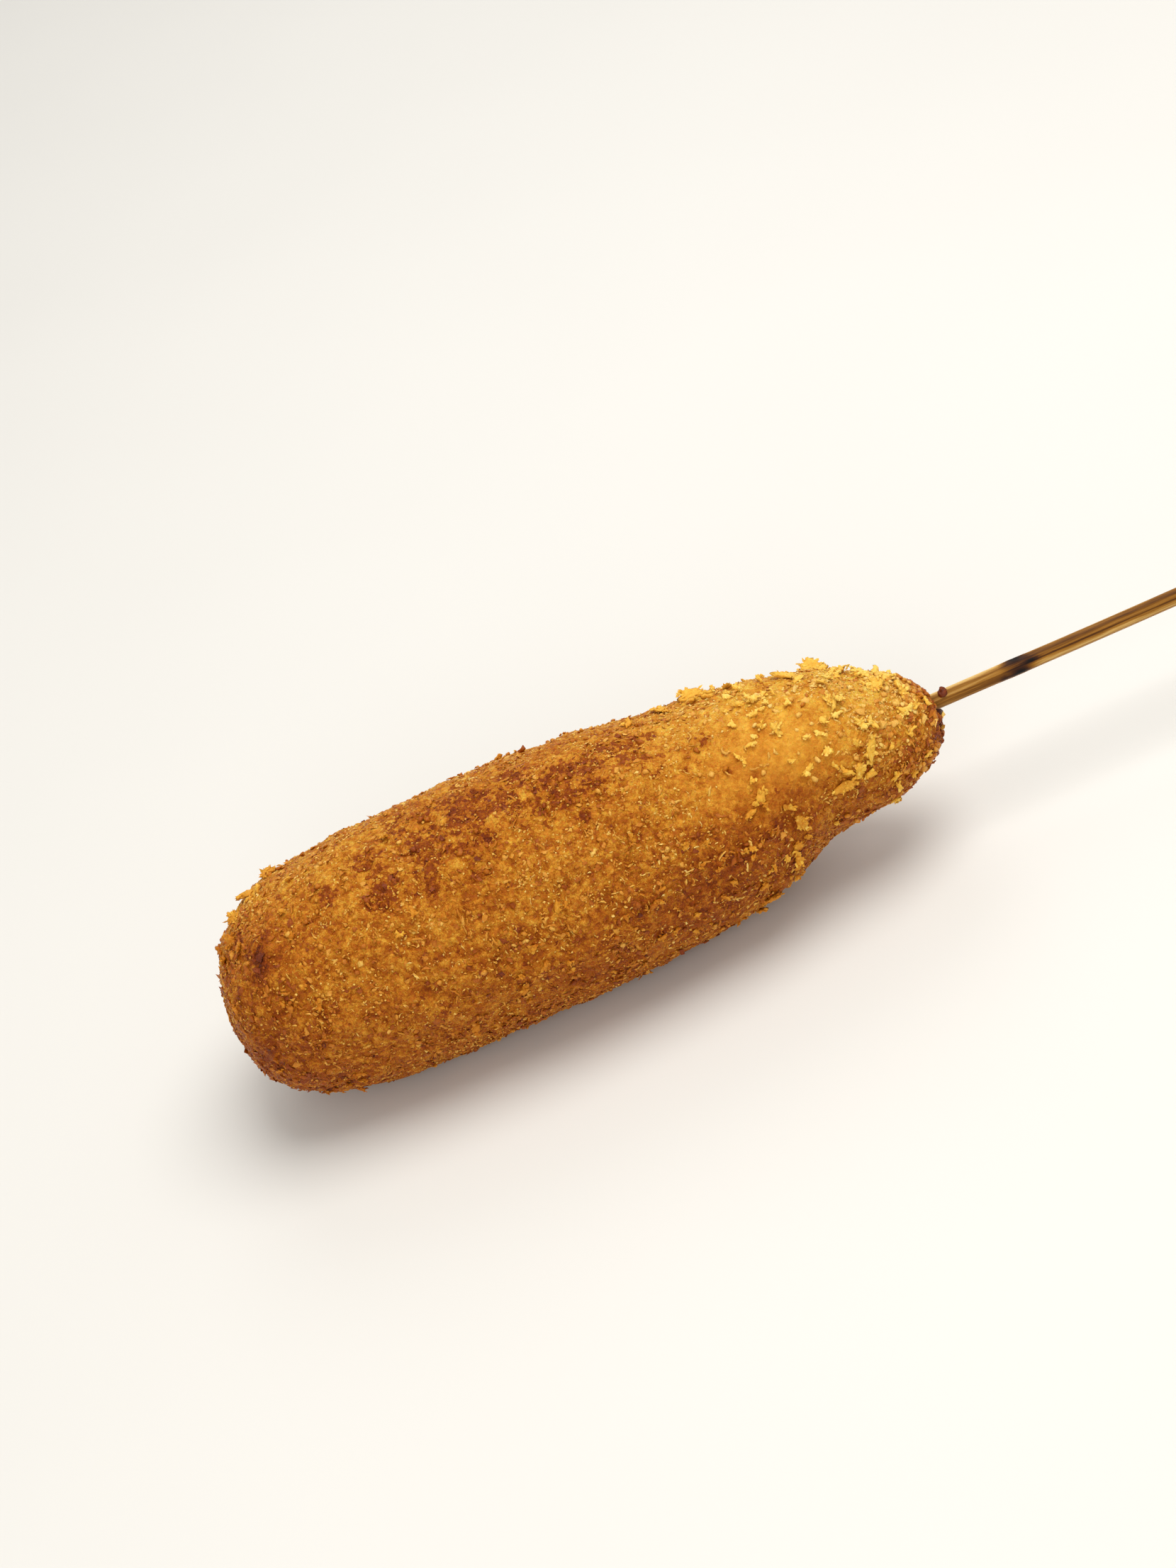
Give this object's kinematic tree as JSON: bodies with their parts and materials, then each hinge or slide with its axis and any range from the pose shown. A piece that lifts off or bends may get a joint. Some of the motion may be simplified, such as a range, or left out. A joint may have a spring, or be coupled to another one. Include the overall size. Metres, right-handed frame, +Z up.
{
  "type": "corn dog",
  "caption": "Thick crumb-crusted fried snack on a slim wooden skewer, lying level, with coarse flakes at the skewer end and a rounded far end.",
  "frame": {"origin": "middle of the small flat spot that the crust rests on", "axes": "+X along the skewer towards its free end, +Z up, -Y the front that the crust shows"},
  "size_m": [0.2303, 0.046, 0.0431],
  "materials": {
    "crust": "deep-fried panko crumbs, golden amber with browner patches, slightly oily",
    "bamboo": "oil-darkened split bamboo with lengthwise fibres and a scorched knot"
  },
  "bodies": {
    "root": {"crumbed_body": "crust", "bamboo_skewer": "bamboo"}
  },
  "joints": []
}
